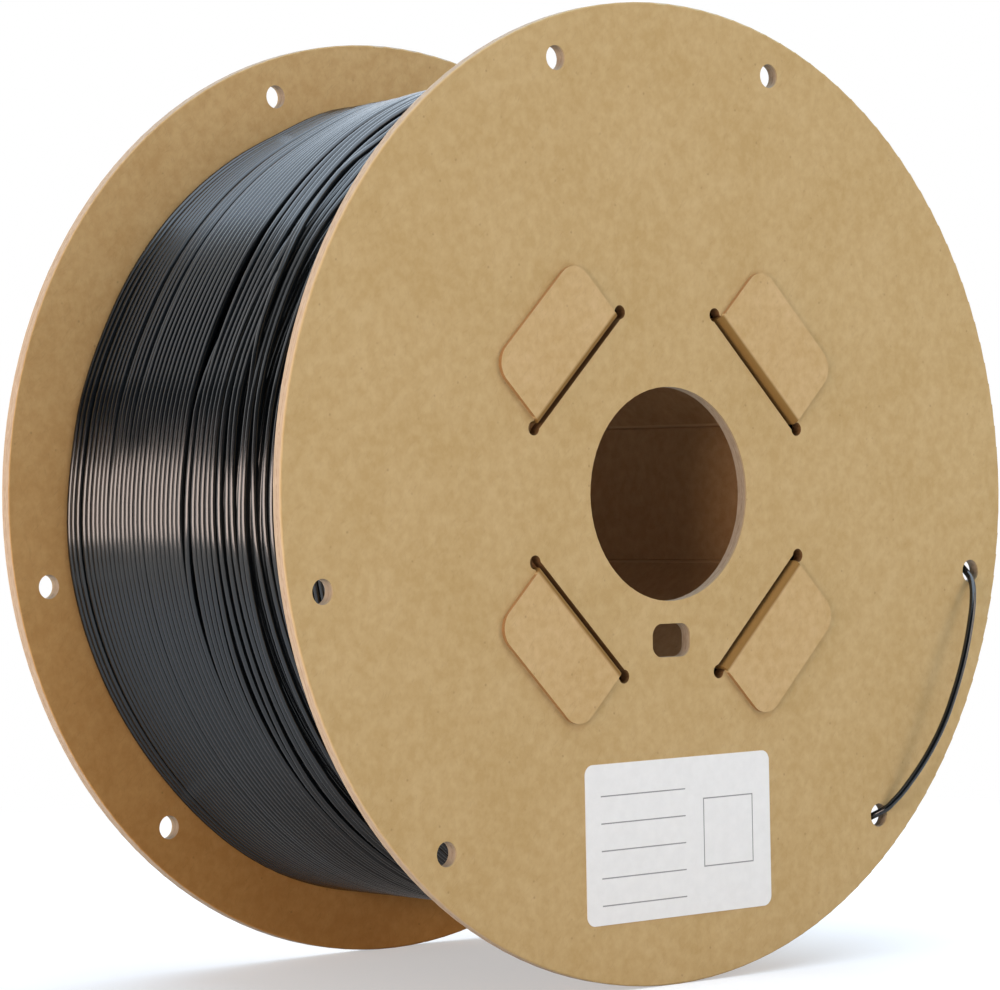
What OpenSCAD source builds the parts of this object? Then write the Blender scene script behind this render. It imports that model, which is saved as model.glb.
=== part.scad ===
/* [Flanges] */
// Diameter of each flange
flange_d = 240; // [220:1:270]
// Clear width between the two flanges
inner_w = 106.4; // [80:0.2:140]
// Thickness of one ply of board; each flange is two plies glued together
ply_t = 1.5; // [1:0.1:2.5]
// Radius that wear and the die leave on a ply's outer edge
edge_r = 0.5; // [0.2:0.1:0.9]
// Diameter of the hub bore that a spindle passes through
hub_bore_d = 52.4; // [30:0.2:56]

/* [Holes near the rim] */
// Diameter of the holes that the end of the filament is threaded through
rim_hole_d = 6; // [5:0.1:8]
// Distance from a rim hole's centre to the flange's edge
rim_hole_inset = 9.7; // [6:0.1:14]
// Angle between the two holes of a pair
rim_pair_angle = 37.8; // [20:0.2:60]

/* [Drive hole] */
// Width of the drive hole
drive_w = 12.6; // [8:0.2:16]
// Height of the drive hole
drive_h = 8.2; // [6.2:0.2:9]
// Board left between the hub bore and the drive hole
drive_web = 5.5; // [4:0.5:6]
// Corner radius of the drive hole
drive_corner_r = 3; // [1:0.2:3]

/* [Core] */
// Distance from the axis to the outer face of a core panel
core_apothem = 43.4; // [42:0.2:60]
// Thickness of the folded card
card_t = 1; // [0.6:0.1:1.4]
// Width of the lap that closes the folded core
lap_w = 15; // [10:1:24]
// Depth that a crease sinks into the inner face of the card
crease_depth = 0.4; // [0.2:0.1:0.5]

/* [Tabs] */
// Width of a folded tab
tab_w = 36.4; // [24:0.4:37]
// Length of a tab from its fold to its outer edge
tab_l = 18.8; // [12:0.4:26]
// Corner radius of a tab
tab_corner_r = 5.5; // [2:0.5:8]
// Width of a tab's slot in the flange
slot_w = 2.6; // [2.2:0.1:3.4]
// Diameter of the relief hole at each end of a slot
slot_end_d = 3.4; // [3:0.1:4.4]
// Gap from the core panel to the outer side of its slot
slot_gap = 0.3; // [0.2:0.1:0.6]

/* [Filament] */
// Diameter of the filament
filament_d = 1.75; // [1.5:0.05:2]
// Distance from the flange's edge to the outside of the winding
winding_inset = 16.6; // [15:0.2:40]
// Gap between the winding and a flange, and under the outer turns
winding_gap = 0.3; // [0.2:0.05:0.6]
// Turns in the outer layer
outer_turns = 24; // [10:1:24]
// Radius at the ends of the wound body
winding_edge_r = 1.5; // [0.5:0.5:4]

/* [Label] */
// Width of the label
label_w = 62; // [40:1:70]
// Height of the label
label_h = 38.8; // [20:0.2:40]
// Thickness of the label
label_t = 0.15; // [0.1:0.05:0.3]
// Corner radius of the label
label_corner_r = 2.5; // [1:0.5:4]
// Distance from the axis to the label's centre
label_r = 84; // [80:0.5:88]
// Angle by which the label is turned in its plane
label_tilt = 0.6; // [-3:0.1:3]

/* [Hidden] */

kraft = [0.73, 0.62, 0.43];
kraft_light = [0.77, 0.65, 0.47];
filament_black = [0.06, 0.06, 0.065];
label_white = [0.88, 0.88, 0.87];

fine = 144;                             // segments on the large circles
small = 48;                             // segments on the small circles
eps = 0.01;                             // how far a cut runs past the face it opens

flange_t = 2 * ply_t;
face_y = inner_w / 2 + flange_t;        // outer face of a flange, from mid-width
rim_hole_r = flange_d / 2 - rim_hole_inset;
drive_r = (hub_bore_d + drive_h) / 2 + drive_web;
pair_angles = [90, 210, 330];           // middle of each pair of rim holes
tab_angles = [45, 135, 225, 315];       // core panels that carry tabs
panels = 8;
panel_step = 360 / panels;
core_corner_r = core_apothem / cos(panel_step / 2);
slot_outer = core_apothem + slot_gap;   // outer side of a slot, from the axis
slot_mid = slot_outer - slot_w / 2;
slot_end_u = tab_w / 2 + slot_end_d / 2;
bend_r = slot_gap;                      // inner radius of a tab's fold
crease_r = 0.5;                         // radius of a crease line's groove
fold_wear = 0.3;                        // how much the outer folds are rounded off
lap_inset = 2;                          // how far the lap stops short of the core's ends
label_x = 2;                            // the label sits a little off centre

// The outer turns: one strand, from the back flange to the front one.
rings_per_turn = 24;
turn_sides = 6;
strand_r = filament_d / 2;
winding_r = flange_d / 2 - winding_inset;
strand_path_r = winding_r - strand_r;   // centre line of the outer turns
chord_dip = strand_path_r * (1 - cos(180 / rings_per_turn));
body_r = strand_path_r - chord_dip - strand_r - winding_gap;
body_w = inner_w - 2 * winding_gap;
strand_end_y = -(inner_w / 2 - winding_gap - strand_r);
strand_start_y = -strand_end_y;
leave_angle = acos(strand_path_r / rim_hole_r) + pair_angles[2] + rim_pair_angle / 2 - 360;
leave_dir = [sin(leave_angle), 0, -cos(leave_angle)];

// The free end: the route of its centre line, from where it leaves the winding.
end_sides = 8;
end_route = [
    [102, -52, 12], [103, -52, 6.5], [104, -51.9, 1], [105, -51.7, -4.5], [106, -51.5, -10],
    [106.9, -51.5, -14.5], [107.2, -51.5, -16.2], [107.5, -51.7, -17.5], [107.8, -52.2, -18.7],
    [108, -53, -19.7], [108, -54.7, -21.2], [107.8, -56.1, -22.4], [107.3, -57.3, -23.6],
    [106.5, -58.5, -25.3], [105.4, -59.6, -27.6], [104, -60.6, -30.8], [102, -61.5, -35.5],
    [99.4, -62.3, -41.5], [96.7, -62.7, -47.5], [93.8, -62.8, -53.5], [90.8, -62.5, -59.5],
    [87.5, -61.7, -65.3], [84.1, -60.7, -70.4], [80.8, -59.7, -74.6], [77.9, -58.9, -77.8],
    [75.9, -58.1, -79.8], [74.4, -57.2, -81.4], [73.4, -56, -82.3], [72.5, -54.7, -83.1],
    [71.6, -53.4, -83.9], [70.8, -52.2, -84.6], [69.8, -51, -85.4], [68.5, -49.8, -86.4],
    [66.9, -48.6, -87.7], [65, -47.5, -89.1], [62.9, -46.6, -90.6], [60.4, -45.8, -92.3]];

function unit(v) = v / norm(v);
function tangent(path, i) =
    unit(path[min(i + 1, len(path) - 1)] - path[max(i - 1, 0)]);
function across(t) = unit(cross(t, [0, 1, 0]));
function ring(centre, t, r, sides) =
    let (a = across(t), b = cross(t, a))
    [for (k = [0:sides - 1]) let (q = 360 * k / sides) centre + r * (cos(q) * a + sin(q) * b)];

// Centre line of the outer turns, clockwise seen from the front.
turn_steps = outer_turns * rings_per_turn;
function turn_point(i) =
    let (a = leave_angle + (turn_steps - i) * 360 / rings_per_turn,
         y = strand_start_y + (strand_end_y - strand_start_y) * i / turn_steps)
    [strand_path_r * cos(a), y, strand_path_r * sin(a)];
wound = [for (i = [0:turn_steps]) turn_point(i)];
first_dir = unit([wound[0][2], 0, -wound[0][0]]);
turns_end = wound[turn_steps] + filament_d * leave_dir;
turns_path = concat([wound[0] - filament_d * first_dir], wound, [turns_end]);
end_path = concat([turns_end, turns_end + filament_d * leave_dir], end_route);
route_end = len(end_route) - 1;
cut_dir = unit(end_route[route_end] - end_route[route_end - 1]);
end_length = sum_of([for (i = [1:len(end_path) - 1]) norm(end_path[i] - end_path[i - 1])]);
function sum_of(v, i = 0) = i == len(v) ? 0 : v[i] + sum_of(v, i + 1);

// Least gap of the strand to itself, point to the chords of the next turn.
function point_to_chord(p, a, b) =
    let (t = max(0, min(1, (p - a) * (b - a) / ((b - a) * (b - a))))) norm(p - a - t * (b - a));
least_gap = min([for (i = [0:turn_steps - rings_per_turn - 1])
                 for (j = [i + rings_per_turn - 1, i + rings_per_turn])
                 point_to_chord(wound[i], wound[j], wound[j + 1])]) - filament_d;
echo(least_gap_of_outer_turns_mm = least_gap);
echo(free_end_length_mm = end_length);

// A closed tube swept along a path, its ends cut square to the end directions.
module strand(path, r, sides, start_dir, end_dir) {
    last = len(path) - 1;
    points = [for (i = [0:last])
              each ring(path[i], i == 0 ? start_dir : i == last ? end_dir : tangent(path, i), r, sides)];
    walls = [for (i = [0:last - 1]) for (k = [0:sides - 1])
             let (a = i * sides + k, b = i * sides + (k + 1) % sides)
             each [[a, a + sides, b], [b, a + sides, b + sides]]];
    start_cap = [for (k = [1:sides - 2]) [0, k, k + 1]];
    end_cap = [for (k = [1:sides - 2]) [last * sides, last * sides + k + 1, last * sides + k]];
    polyhedron(points = points, faces = concat(walls, start_cap, end_cap), convexity = 10);
}

// Turns a form drawn in XY and standing on Z so that it lies along the spool's axis.
module on_axis(y) {
    translate([0, y, 0]) rotate([90, 0, 0]) children();
}

module rounded_rect(w, h, r) {
    union() {
        square([w - 2 * r, h], center = true);
        square([w, h - 2 * r], center = true);
        for (x = [-1, 1])
            for (y = [-1, 1])
                translate([x * (w / 2 - r), y * (h / 2 - r)]) circle(r = r, $fn = small);
    }
}

module octagon(apothem) {
    rotate(panel_step / 2) circle(r = apothem / cos(panel_step / 2), $fn = panels);
}

// One tab slot, a straight cut between two relief holes.
module slot_shape() {
    translate([slot_mid, 0]) square([slot_w, 2 * slot_end_u], center = true);
    for (s = [-1, 1])
        translate([slot_mid, s * slot_end_u]) circle(d = slot_end_d, $fn = small);
}

// All that the die cuts out of one ply.
module ply_cuts() {
    circle(d = hub_bore_d, $fn = fine);
    for (a = pair_angles)
        for (s = [-1, 1])
            rotate(a + s * rim_pair_angle / 2) translate([rim_hole_r, 0]) circle(d = rim_hole_d, $fn = small);
    for (a = tab_angles)
        rotate(a) slot_shape();
    translate([0, -drive_r]) rounded_rect(drive_w, drive_h, drive_corner_r);
}

// A ply on Z = 0 to ply_t, with its worn edge at the top.
module ply() {
    difference() {
        rotate_extrude($fn = fine) {
            square([flange_d / 2 - edge_r, ply_t]);
            square([flange_d / 2, ply_t - edge_r]);
            translate([flange_d / 2 - edge_r, ply_t - edge_r]) circle(r = edge_r, $fn = small);
        }
        translate([0, 0, -eps]) linear_extrude(ply_t + 2 * eps) ply_cuts();
    }
}

module front_flange_outer_ply() {
    color(kraft) on_axis(-face_y + ply_t) ply();
}

module front_flange_inner_ply() {
    color(kraft) mirror([0, 1, 0]) on_axis(face_y - ply_t) ply();
}

module back_flange_inner_ply() {
    mirror([0, 1, 0]) front_flange_inner_ply();
}

module back_flange_outer_ply() {
    mirror([0, 1, 0]) front_flange_outer_ply();
}

// A tab in its own frame: X away from the axis, Y along the slot and Z = 0 on
// the flange's outer face. The card comes up through the slot and folds over.
module tab() {
    panel_x = core_apothem - card_t;
    translate([panel_x, -tab_w / 2, -flange_t]) cube([card_t, tab_w, flange_t - bend_r]);
    translate([slot_outer, tab_w / 2, -bend_r]) rotate([90, 0, 0]) linear_extrude(tab_w)
        intersection() {
            difference() {
                circle(r = bend_r + card_t, $fn = small);
                circle(r = bend_r, $fn = small);
            }
            translate([-bend_r - card_t, 0]) square(bend_r + card_t);
        }
    translate([slot_outer, 0, 0]) linear_extrude(card_t) {
        translate([0, -tab_w / 2]) square([tab_l - tab_corner_r, tab_w]);
        translate([0, tab_corner_r - tab_w / 2]) square([tab_l, tab_w - 2 * tab_corner_r]);
        for (s = [-1, 1])
            translate([tab_l - tab_corner_r, s * (tab_w / 2 - tab_corner_r)])
                circle(r = tab_corner_r, $fn = small);
    }
}

// The folded core's section, with its worn outer folds and creased inner ones.
module core_section() {
    difference() {
        intersection() {
            octagon(core_apothem);
            circle(r = core_corner_r - fold_wear, $fn = fine);
        }
        octagon(core_apothem - card_t);
        for (k = [0:panels - 1])
            rotate((k + 0.5) * panel_step)
                translate([(core_apothem - card_t) / cos(panel_step / 2) + crease_depth - crease_r, 0])
                    circle(r = crease_r, $fn = small);
    }
}

// The lap is the blank's last strip, glued inside the panel where the core closes.
module lap_section() {
    inner = core_apothem - card_t;
    rotate(180) translate([inner - card_t, -inner * tan(panel_step / 2)]) square([card_t, lap_w]);
}

module core_sleeve() {
    color(kraft_light) {
        on_axis(inner_w / 2) linear_extrude(inner_w) core_section();
        on_axis(inner_w / 2 - lap_inset) linear_extrude(inner_w - 2 * lap_inset) lap_section();
        for (side = [0, 1])
            mirror([0, side, 0]) on_axis(-face_y)
                for (a = tab_angles)
                    rotate(a) tab();
    }
}

// All the layers under the outer one, wound tight round the core.
module filament_inner_layers() {
    color(filament_black) on_axis(body_w / 2) difference() {
        rotate_extrude($fn = fine) {
            square([body_r - winding_edge_r, body_w]);
            translate([0, winding_edge_r]) square([body_r, body_w - 2 * winding_edge_r]);
            for (z = [winding_edge_r, body_w - winding_edge_r])
                translate([body_r - winding_edge_r, z]) circle(r = winding_edge_r, $fn = small);
        }
        translate([0, 0, -eps]) linear_extrude(body_w + 2 * eps) octagon(core_apothem);
    }
}

module filament_outer_turns() {
    color(filament_black) strand(turns_path, strand_r, turn_sides, first_dir, leave_dir);
}

module filament_end() {
    color(filament_black) strand(end_path, strand_r, end_sides, leave_dir, cut_dir);
}

module label() {
    color(label_white) on_axis(-face_y) translate([label_x, -label_r]) rotate(label_tilt)
        linear_extrude(label_t) rounded_rect(label_w, label_h, label_corner_r);
}

front_flange_outer_ply();
front_flange_inner_ply();
back_flange_inner_ply();
back_flange_outer_ply();
core_sleeve();
filament_inner_layers();
filament_outer_turns();
filament_end();
label();
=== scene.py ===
# %% [markdown]
# # A cardboard filament spool, dressed for its portrait
#
# This lesson takes a spool whose construction is already settled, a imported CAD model, and gives it
# its looks. The boards, the folded core and the label keep their CAD shape and get materials. The
# filament is different: in the CAD model it is a plain drum under one strand whose 24 turns lie far
# apart. Here it is wound again, with as many turns as such a layer really has.
#
# Everything is in metres and in the CAD model's own frame: the origin is the centre of the hub
# bore, +Y runs along the axis away from the labelled flange and +Z is up. Nothing has to be fitted.

# %% Load the frame
import math

import bpy
import numpy as np
from mathutils import Matrix, Vector


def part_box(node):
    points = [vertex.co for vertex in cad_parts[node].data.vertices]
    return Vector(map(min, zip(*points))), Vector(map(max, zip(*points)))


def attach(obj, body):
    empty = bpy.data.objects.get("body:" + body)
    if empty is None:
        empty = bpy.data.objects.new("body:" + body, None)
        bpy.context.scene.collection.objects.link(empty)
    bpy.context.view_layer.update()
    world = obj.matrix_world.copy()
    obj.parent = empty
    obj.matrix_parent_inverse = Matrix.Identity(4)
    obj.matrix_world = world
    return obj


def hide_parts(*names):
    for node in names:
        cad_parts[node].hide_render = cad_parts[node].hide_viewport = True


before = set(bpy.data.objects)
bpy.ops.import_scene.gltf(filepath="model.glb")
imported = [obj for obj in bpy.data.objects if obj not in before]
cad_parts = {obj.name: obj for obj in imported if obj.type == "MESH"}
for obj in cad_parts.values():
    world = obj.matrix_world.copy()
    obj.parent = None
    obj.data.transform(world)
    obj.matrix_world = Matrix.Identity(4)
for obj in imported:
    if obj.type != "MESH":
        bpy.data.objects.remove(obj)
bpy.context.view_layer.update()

MM = 0.001
print("nodes:", ", ".join(sorted(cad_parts)))

# %% [markdown]
# ## Sizes that the frame already knows
#
# A size that can be read from the CAD model is never typed again. The flanges give the outer
# radius, the two faces of each board and the plane between its plies. If the model changes, these
# follow. A size that no piece's box tells is typed in where it is first needed, such as the
# strand's thickness: 1.75 mm is what filament is sold as.

# %% Read the main sizes from the frame
front_low, front_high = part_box("front_flange_outer_ply")
inner_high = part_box("front_flange_inner_ply")[1]
label_low, label_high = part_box("label")
FLANGE_R = front_high.x
FACE_Y = -front_low.y                 # outer face of a flange, from mid-width
INSIDE_Y = -inner_high.y              # inner face of a flange
PLY_T = front_high.y - front_low.y
FLOOR_Z = front_low.z
STRAND_D = 1.75 * MM
STRAND_R = STRAND_D / 2
print(f"flange radius {FLANGE_R / MM:.1f} mm, clear width {2 * INSIDE_Y / MM:.1f} mm,",
      f"ply {PLY_T / MM:.2f} mm")

# %% [markdown]
# ## The camera
#
# A product picture of a spool is taken from a low tripod with a long lens, so that the circles stay
# true ellipses and the two flanges differ little in size. The camera stands level with the axis, a
# metre away and 41 degrees round to the side, where it sees both the face and the winding. It is
# built from three turns: down to the horizon, round to its side, and a slight roll.

# %% Stand the camera
CAMERA_AT = Vector((-0.6481, -0.7420, 0.0002))
CAMERA_YAW = math.radians(-40.86)
CAMERA_ROLL = math.radians(-0.676)
LENS_MM = 138.8

camera_data = bpy.data.cameras.new("camera")
camera_data.lens = LENS_MM
camera_data.sensor_width = 36
camera = bpy.data.objects.new("camera", camera_data)
camera.matrix_world = (
    Matrix.Translation(CAMERA_AT)
    @ Matrix.Rotation(CAMERA_YAW, 4, "Z")
    @ Matrix.Rotation(math.radians(90), 4, "X")
    @ Matrix.Rotation(CAMERA_ROLL, 4, "Z")
)
bpy.context.scene.collection.objects.link(camera)
bpy.context.scene.camera = camera
print(f"camera {CAMERA_AT.length:.3f} m from the hub, lens {LENS_MM} mm")

# %% [markdown]
# ## The free end of the filament
#
# The last piece of a wound strand springs loose, so it is threaded out through one hole near the
# rim and back in through the next. A curve object with a round bevel is the natural tool: its line
# is the centre of the strand, and moving a point moves the plastic. The route repeats the points of
# the CAD model, in the same order: off the last turn, along the inside of the board, through the
# hole, in a shallow bow outside, and back in.
#
# The bevel is one metre deep and the radius of each point brings it down to the strand's. Blender
# adds that radius, as it stands, to the box round a curve, so with the usual radius of 1 the box
# would be a metre too large on every side.

# %% Lay the free end
WOUND_R = 103.4 * MM                  # outside of the winding where the strand leaves it
CLEARANCE = 0.3 * MM                  # between the winding and a flange
RIM_HOLE_R = 110.3 * MM               # from the axis to the centre of a rim hole
HOLE_ANGLE = math.radians(348.9 - 360)        # of the first hole, from +X towards +Z
LEAVE_ANGLE = math.acos((WOUND_R - STRAND_R) / RIM_HOLE_R) + HOLE_ANGLE
END_Y = -(INSIDE_Y - CLEARANCE - STRAND_R)
LEAVE_WAY = Vector((math.sin(LEAVE_ANGLE), 0, -math.cos(LEAVE_ANGLE)))
LAST_TURN = Vector((math.cos(LEAVE_ANGLE), 0, math.sin(LEAVE_ANGLE))) * (WOUND_R - STRAND_R)
LAST_TURN.y = END_Y
TURNS_END = LAST_TURN + STRAND_D * LEAVE_WAY
END_ROUTE = [                         # centre line in mm, from the last turn to the tip
    (102, -52, 12), (103, -52, 6.5), (104, -51.9, 1), (105, -51.7, -4.5), (106, -51.5, -10),
    (106.9, -51.5, -14.5), (107.2, -51.5, -16.2), (107.5, -51.7, -17.5), (107.8, -52.2, -18.7),
    (108, -53, -19.7), (108, -54.7, -21.2), (107.8, -56.1, -22.4), (107.3, -57.3, -23.6),
    (106.5, -58.5, -25.3), (105.4, -59.6, -27.6), (104, -60.6, -30.8), (102, -61.5, -35.5),
    (99.4, -62.3, -41.5), (96.7, -62.7, -47.5), (93.8, -62.8, -53.5), (90.8, -62.5, -59.5),
    (87.5, -61.7, -65.3), (84.1, -60.7, -70.4), (80.8, -59.7, -74.6), (77.9, -58.9, -77.8),
    (75.9, -58.1, -79.8), (74.4, -57.2, -81.4), (73.4, -56, -82.3), (72.5, -54.7, -83.1),
    (71.6, -53.4, -83.9), (70.8, -52.2, -84.6), (69.8, -51, -85.4), (68.5, -49.8, -86.4),
    (66.9, -48.6, -87.7), (65, -47.5, -89.1), (62.9, -46.6, -90.6), (60.4, -45.8, -92.3)]

end_points = [TURNS_END, TURNS_END + STRAND_D * LEAVE_WAY]
end_points += [Vector(p) * MM for p in END_ROUTE]
end_curve = bpy.data.curves.new("free_end", "CURVE")
end_curve.dimensions = "3D"
end_curve.bevel_depth = 1.0
end_curve.bevel_resolution = 5
end_curve.use_fill_caps = True
end_spline = end_curve.splines.new("BEZIER")
end_spline.bezier_points.add(len(end_points) - 1)
for point, place in zip(end_spline.bezier_points, end_points):
    point.co = place
    point.radius = STRAND_R
    point.handle_left_type = point.handle_right_type = "AUTO"
end_spline.resolution_u = 6
free_end = bpy.data.objects.new("free_end", end_curve)
bpy.context.scene.collection.objects.link(free_end)
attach(free_end, "root")
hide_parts("filament_end")

# %% [markdown]
# ## How far out the winding reaches
#
# A full spool isn't a perfect cylinder. The folded core under the filament is an octagon and the
# layers settle, so the outside of the winding runs between 101 and 106 mm from the axis. Next to
# the far flange the turns have sunk a little deeper, and on the label side the loose ones stand up
# at the top. Three short lists of radii, each at its angle round the axis, say how. A smooth step
# joins neighbours in a list, and others lead from one list to the next.

# %% Shape the outside of the winding
ROUND_THE_MIDDLE = [                  # angle in degrees from +X towards +Z, outside radius in mm
    (0, 103.4), (45, 103.4), (88, 104.6), (100, 104.3), (120, 102.2), (150, 102.1), (170, 103.1),
    (189, 104.4), (222, 103.5), (250, 104.6), (290, 104.2), (330, 103.4), (360, 103.4)]
BY_THE_FLANGE = [
    (0, 103.4), (45, 103.4), (88, 104.2), (98, 103.6), (114, 101.4), (152, 101.7), (170, 102.9),
    (189, 104.5), (222, 103.3), (250, 104.7), (290, 104.2), (330, 103.4), (360, 103.4)]
LOOSE_SIDE = [
    (0, 103.4), (45, 103.4), (75, 105.2), (100, 105.7), (138, 102.4), (152, 102.1), (170, 103.1),
    (189, 104.4), (222, 103.5), (250, 104.6), (290, 104.2), (330, 103.4), (360, 103.4)]
SUNK_FROM, SUNK_FULLY = 20 * MM, 50 * MM      # along the axis, towards the far flange
LOOSE_UPTO, LOOSE_FULLY = 26 * MM, 2 * MM     # and towards the labelled one


def smooth_step(t):
    """0 below 0, 1 above 1 and an S-curve between."""
    t = np.clip(t, 0, 1)
    return t * t * (3 - 2 * t)


def radius_round(outline, angle):
    """Radius in mm from a list of (degrees, radius), at angles in radians."""
    turned = np.degrees(angle) % 360
    radius = np.full_like(turned, outline[0][1])
    for (a, r), (b, s) in zip(outline, outline[1:]):
        radius += (s - r) * smooth_step((turned - a) / (b - a))
    return radius


def winding_radius(angle, y):
    """Outside radius of the winding, in metres, at angles in radians and places on the axis."""
    middle = radius_round(ROUND_THE_MIDDLE, angle)
    sunk = radius_round(BY_THE_FLANGE, angle) - middle
    loose = radius_round(LOOSE_SIDE, angle) - middle
    return MM * (middle + sunk * smooth_step((y - SUNK_FROM) / (SUNK_FULLY - SUNK_FROM))
                 + loose * smooth_step((y - LOOSE_UPTO) / (LOOSE_FULLY - LOOSE_UPTO)))


every_degree = np.radians(np.arange(0, 360, 1.0))
for y in (-INSIDE_Y, LOOSE_UPTO, INSIDE_Y):
    ring = winding_radius(every_degree, y) / MM
    print(f"winding radius at y {y / MM:.0f} mm: {ring.min():.1f} to {ring.max():.1f} mm")

# %% [markdown]
# ## Where each turn lies
#
# A winding machine lays the strand a little more than its own thickness along the axis with each
# turn. The middle turns lie tight; nearer the labelled flange the last layer has come loose, and
# dark gaps open between groups of turns. One number is enough to describe that: how far along the
# axis the strand has got after so many turns. Each gap is a step in it, and because the strand is a
# single line, a gap runs once round the spool and then closes where it opened.
#
# The alternative, a stack of separate rings, looks right in one spot and wrong everywhere else: no
# turn would ever cross over to the next.

# %% Count the turns and open the gaps
TURNS = 50
GAPS = [                              # turn at which it steps over, degrees it takes, mm wide
    (1.62, 36, 0.35), (2.63, 36, 0.95), (3.65, 36, 0.1), (4.66, 36, 0.25),
    (26.507, 14, 1.45), (27.04, 150, 0.6), (30.62, 40, 0.3), (32.04, 100, 0.55),
    (33.04, 130, 2.1), (35.0, 90, 1.15), (37.04, 60, 1.55), (38.04, 60, 2.4), (38.7, 35, 0.8),
    (40.2, 90, 1.3), (43.1, 120, 0.6), (45.65, 30, 0.5), (48.0, 200, 0.3)]
PITCH = (-2 * END_Y - sum(gap[2] for gap in GAPS) * MM) / TURNS


def along_axis(turn):
    """Y of the strand's centre line, in metres, after that many turns."""
    y = -END_Y - PITCH * turn
    for at, degrees, wide in GAPS:
        y = y - wide * MM * smooth_step((turn - at) * 360 / degrees + 0.5)
    return y


print(f"{TURNS} turns, {PITCH / MM:.3f} mm apart where they lie tight, and {len(GAPS)} gaps")

# %% [markdown]
# ## Turns that stray
#
# Where the layer has come loose, a turn doesn't keep to its line. It wanders sideways by a few
# millimetres, leaves a black opening on one side and leans on its neighbour on the other, and one
# turn even lies across its neighbour. Each row below is one turn: its number, and how far it strays
# at a few angles round the spool. Between those angles a straight line is drawn and then smoothed
# with a moving average, which is what the strand's own stiffness does.

# %% Let the loose turns stray
STRAY_AT = (265, 225, 205, 190, 178, 165, 150, 138, 128, 118, 105, 70)      # degrees round the axis
STRAY = [                             # turn, then mm towards the far flange at those angles
    (26, 0, 0, 0, 0, 0, 0.3, 0.1, 0.4, 0.9, 1.2, 1.4, 0),
    (27, 0, 1.9, 1.7, -0.2, -0.1, 0.3, 0.8, 1.6, 2.2, 2.3, 2, 0),
    (28, 0, 1.9, 1.7, -0.3, -0.1, 0.5, -0.4, 0.3, 1, 1.6, 2, 0),
    (29, 0, 1.9, 1.7, -0.5, 0, 0.4, -0.4, 0.3, 1, 1.6, 1.9, 0),
    (30, 0, 1.9, 1.7, -0.8, -0.2, 0.5, -0.3, 0.5, 1.3, 1.9, 2.2, 0),
    (31, 0, 2.2, 1.1, -1.2, -0.2, 0.8, -0.1, 0.6, 1.2, 0.4, -1.6, 0),
    (32, 0, 2.2, 0, -0.9, -0.2, 1.4, 0, 1, 1.7, 0.8, -1.1, 0),
    (33, 0, 4.2, 0.4, -0.2, 0, 2.4, 2, 3.1, 3.8, 2.9, 1, 0),
    (34, 0, 1.6, -0.7, -0.9, 0.2, 2.4, 2, 1.3, 0, -0.4, -1.1, 0),
    (35, 0, 2.8, 0.5, 0.3, 0.1, 1.1, 3, 5.6, 6.6, 5.8, 3.9, 0),
    (36, 0, 1.9, 0.5, -0.3, 0.2, 1.1, 3.4, 3.7, 3, 2.5, 1.6, 0),
    (37, 0, -0.8, -2.1, -1.5, 0, 2.6, 4.9, 5, 3.4, 3.1, 2.6, 0),
    (38, 0, -0.8, -2.1, -1.3, 0.2, 0.5, 1.9, 3.7, 3.8, 3.7, 3.1, 0),
    (39, 0, -0.8, -1.3, -1.2, 0, 0.5, 0.2, 0.8, 1.3, 1.4, 0.9, 0)]
STEPS_A_TURN = 144
SMOOTHED_OVER = 9                     # steps


def turn_at(number, degrees):
    """The place along the strand where a turn passes an angle round the axis."""
    return number + 1 - (degrees - math.degrees(LEAVE_ANGLE)) / 360


def astray(turn):
    """How far the strand strays along the axis, in metres, at even steps along it."""
    far = np.zeros_like(turn)
    for number, *strays in STRAY:
        places = [turn_at(number, degrees) for degrees in STRAY_AT]
        far += np.interp(turn, places, strays, left=0, right=0)
    window = np.hanning(SMOOTHED_OVER + 2)
    return np.convolve(far, window / window.sum(), mode="same") * MM


print(f"{len(STRAY)} turns stray, by up to {max(max(row[1:]) for row in STRAY):.1f} mm")

# %% [markdown]
# ## A strand as a mesh
#
# To sweep a round section along a line, each point of the line gets a ring of corners, and
# neighbouring rings are joined with four-sided faces. The ring stands on two directions: one along
# the axis and one away from it. That is simpler than the general frame of a curve and it never
# twists, because no turn of a winding ever points along the axis.

# %% Sweep a strand
def strand(name, points, radius, sides):
    """A closed round tube along points that go round the Y axis, as a smooth mesh object."""
    points = np.asarray(points)
    way = np.gradient(points, axis=0)
    way /= np.linalg.norm(way, axis=1)[:, None]
    outward = np.cross(way, (0.0, 1.0, 0.0))
    outward /= np.linalg.norm(outward, axis=1)[:, None]
    along = np.cross(outward, way)
    turn = 2 * np.pi * np.arange(sides) / sides
    rings = (points[:, None]
             + radius * np.cos(turn)[None, :, None] * outward[:, None]
             + radius * np.sin(turn)[None, :, None] * along[:, None])
    corner = np.arange(len(points) * sides).reshape(len(points), sides)
    after = np.roll(corner, -1, axis=1)
    walls = np.stack([corner[:-1], after[:-1], after[1:], corner[1:]], axis=-1).reshape(-1, 4)
    caps = [corner[0][::-1].tolist(), corner[-1].tolist()]
    mesh = bpy.data.meshes.new(name)
    mesh.from_pydata(rings.reshape(-1, 3).tolist(), [], walls.tolist() + caps)
    mesh.polygons.foreach_set("use_smooth", [True] * len(walls) + [False] * len(caps))
    piece = bpy.data.objects.new(name, mesh)
    bpy.context.scene.collection.objects.link(piece)
    return piece


def round_points(angle, radius, y):
    """Points round the Y axis, from an angle, a radius and a place on the axis for each."""
    return np.stack([radius * np.cos(angle), y, radius * np.sin(angle)], axis=1)


TUBE_SIDES = 10
flat_depth = STRAND_R * (1 - math.cos(math.pi / TUBE_SIDES))
print(f"with {TUBE_SIDES} sides, a flat lies {flat_depth / MM:.3f} mm inside the true circle")

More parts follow.
